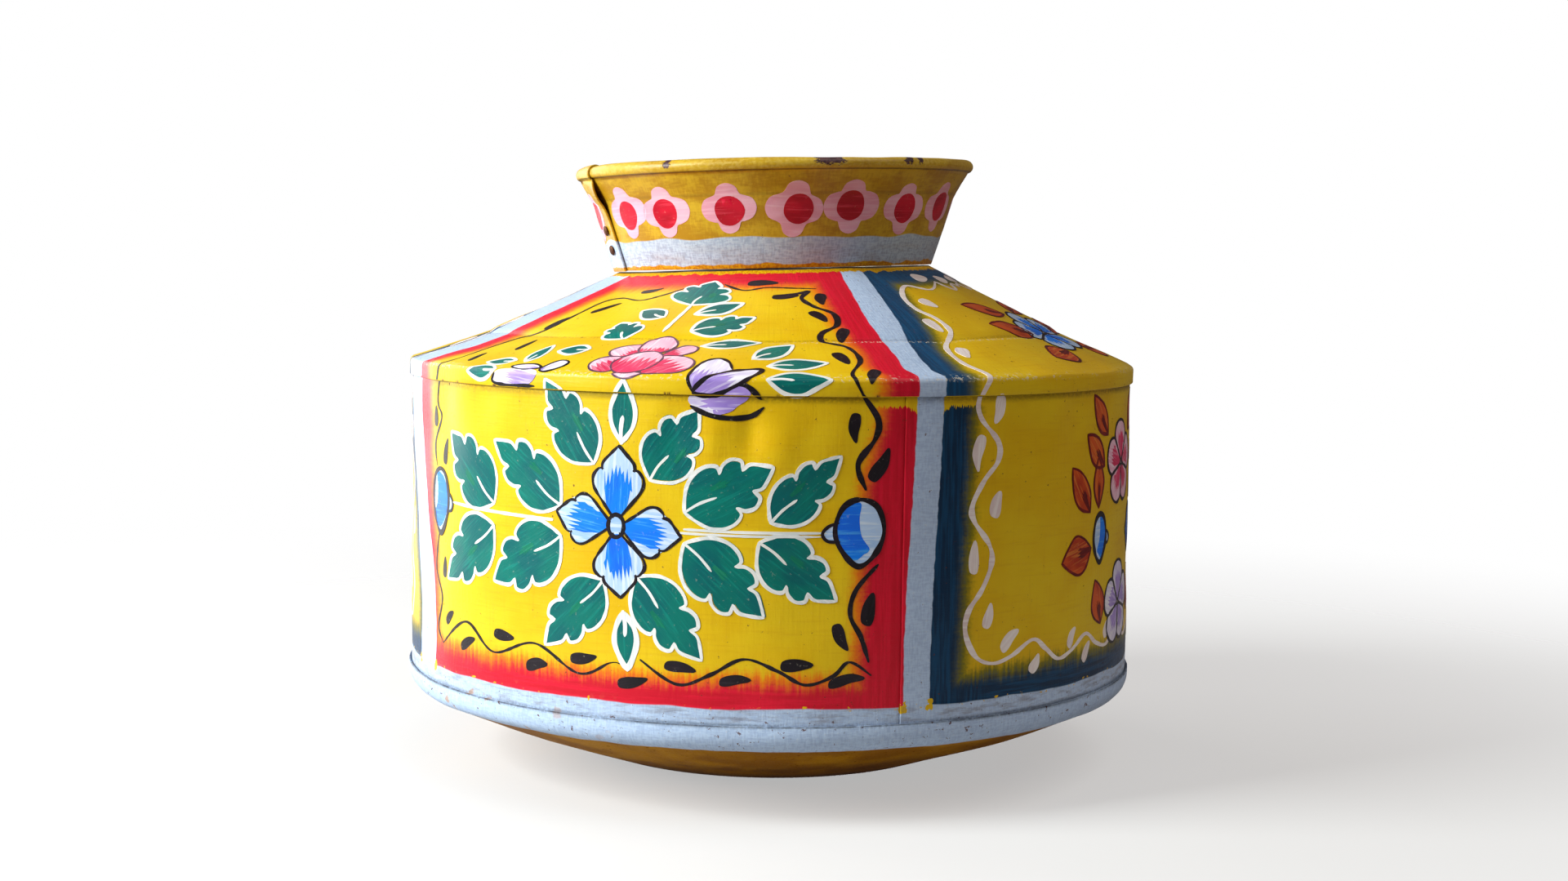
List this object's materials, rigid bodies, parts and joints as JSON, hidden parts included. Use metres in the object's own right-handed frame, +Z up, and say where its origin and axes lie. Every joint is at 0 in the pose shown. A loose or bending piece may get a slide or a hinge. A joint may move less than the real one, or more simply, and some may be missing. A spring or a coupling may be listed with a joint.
{
  "type": "painted sheet metal water pot",
  "caption": "Round drum-bodied sheet metal water pot with a conical shoulder, a flared open neck, a wired rim and a shallow dished bottom, painted all over with flowers.",
  "frame": {"origin": "centre of the flat base, on the surface that the pot stands on", "axes": "+Z up along the pot's axis; -Y is the middle of the front panel, the one with the red border"},
  "size_m": [0.3022, 0.3022, 0.2439],
  "materials": {
    "painted_sheet": "hand-brushed gloss enamel on galvanised sheet, worn, with rust spots",
    "bare_sheet": "dull galvanised steel, unpainted inside the pot",
    "wire": "drawn steel wire",
    "rivet": "mild steel, lightly rusted",
    "solder": "dull tin solder"
  },
  "bodies": {
    "root": {"bottom_pan": "painted_sheet", "body_wall": "painted_sheet", "shoulder_cone": "painted_sheet", "neck_collar": "painted_sheet", "rim_wire": "wire", "neck_rivet_lower": "rivet", "neck_rivet_upper": "rivet", "bottom_solder": "solder", "shoulder_solder": "solder", "neck_solder": "solder", "wall_seam_solder": "solder"}
  },
  "joints": []
}
